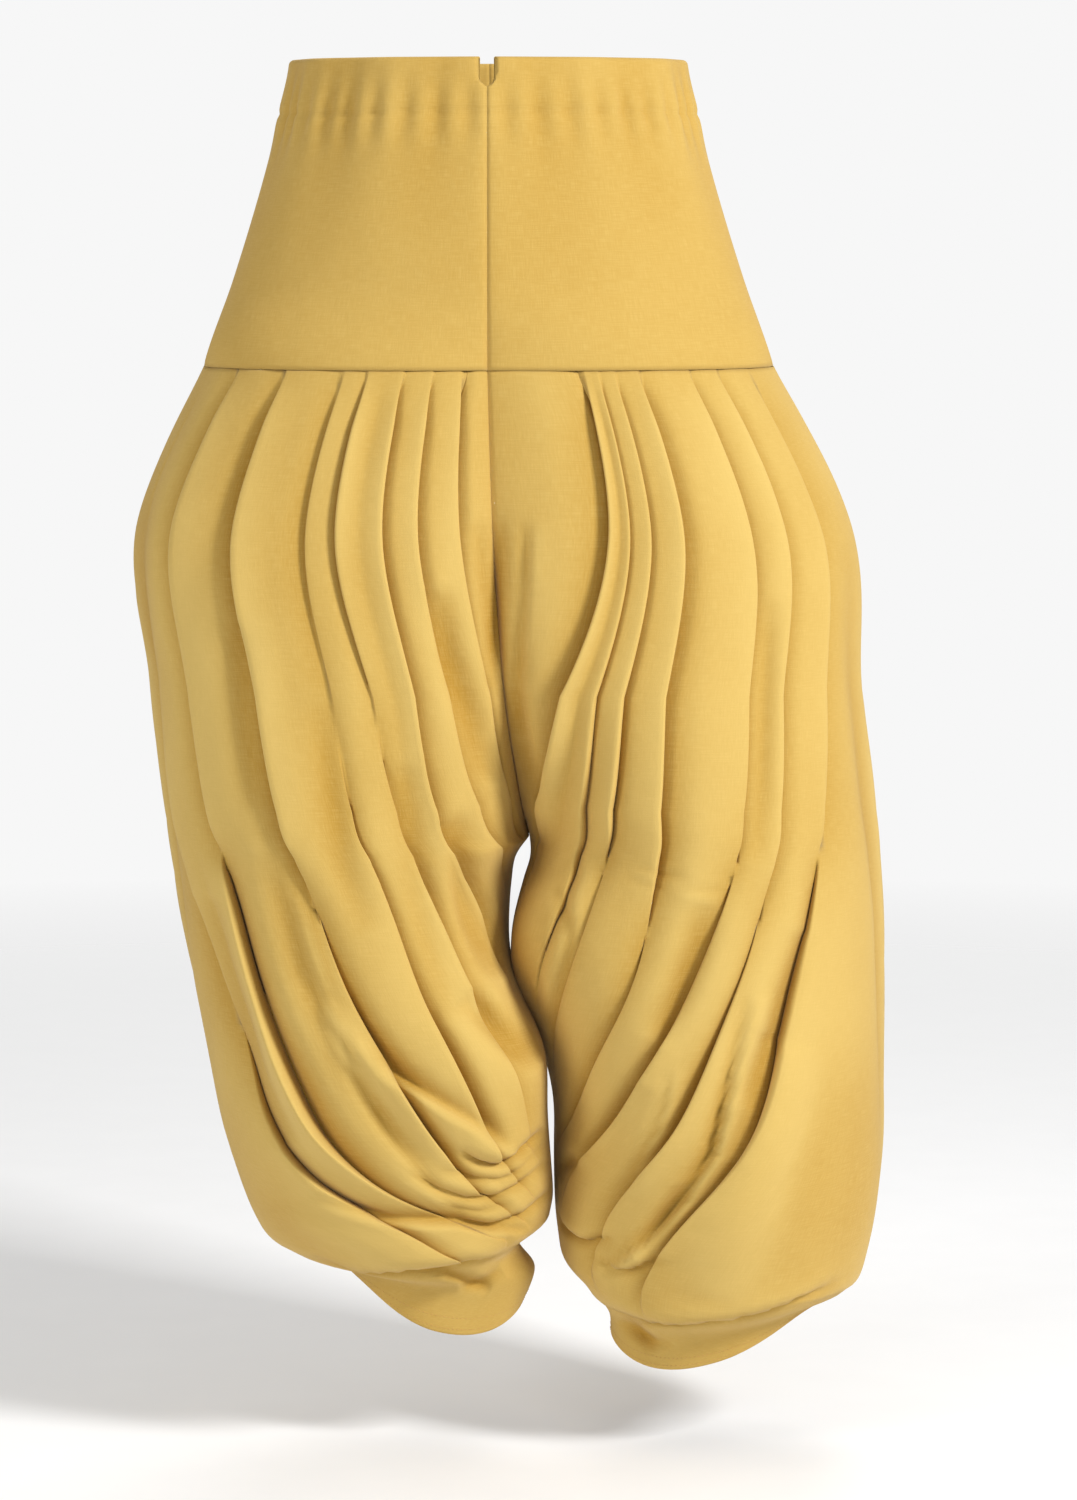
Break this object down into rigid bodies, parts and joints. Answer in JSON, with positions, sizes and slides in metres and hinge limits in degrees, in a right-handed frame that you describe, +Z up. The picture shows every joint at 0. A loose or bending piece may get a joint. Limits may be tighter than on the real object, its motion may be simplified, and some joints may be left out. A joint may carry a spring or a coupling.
{
  "type": "patiala salwar",
  "caption": "Worn patiala salwar: fitted belt with a drawstring casing, two full pleated legs with gussets, cowl folds sweeping to narrow ankle hems. Cloth walls are open at waist and hems.",
  "frame": {"origin": "centre of the waist at the top edge of the belt, where the wearer holds the garment up", "axes": "+Z up, -Y towards the front, +X towards the wearer's left"},
  "size_m": [0.5725, 0.288, 0.9969],
  "materials": {
    "cloth": "plain matte cotton, mustard khaki, fine slubbed weave"
  },
  "bodies": {
    "root": {"belt_right": "cloth", "belt_left": "cloth", "gusset_front_right": "cloth", "gusset_front_left": "cloth", "gusset_back_right": "cloth", "gusset_back_left": "cloth", "leg_panel_right": "cloth", "leg_panel_left": "cloth"}
  },
  "joints": []
}
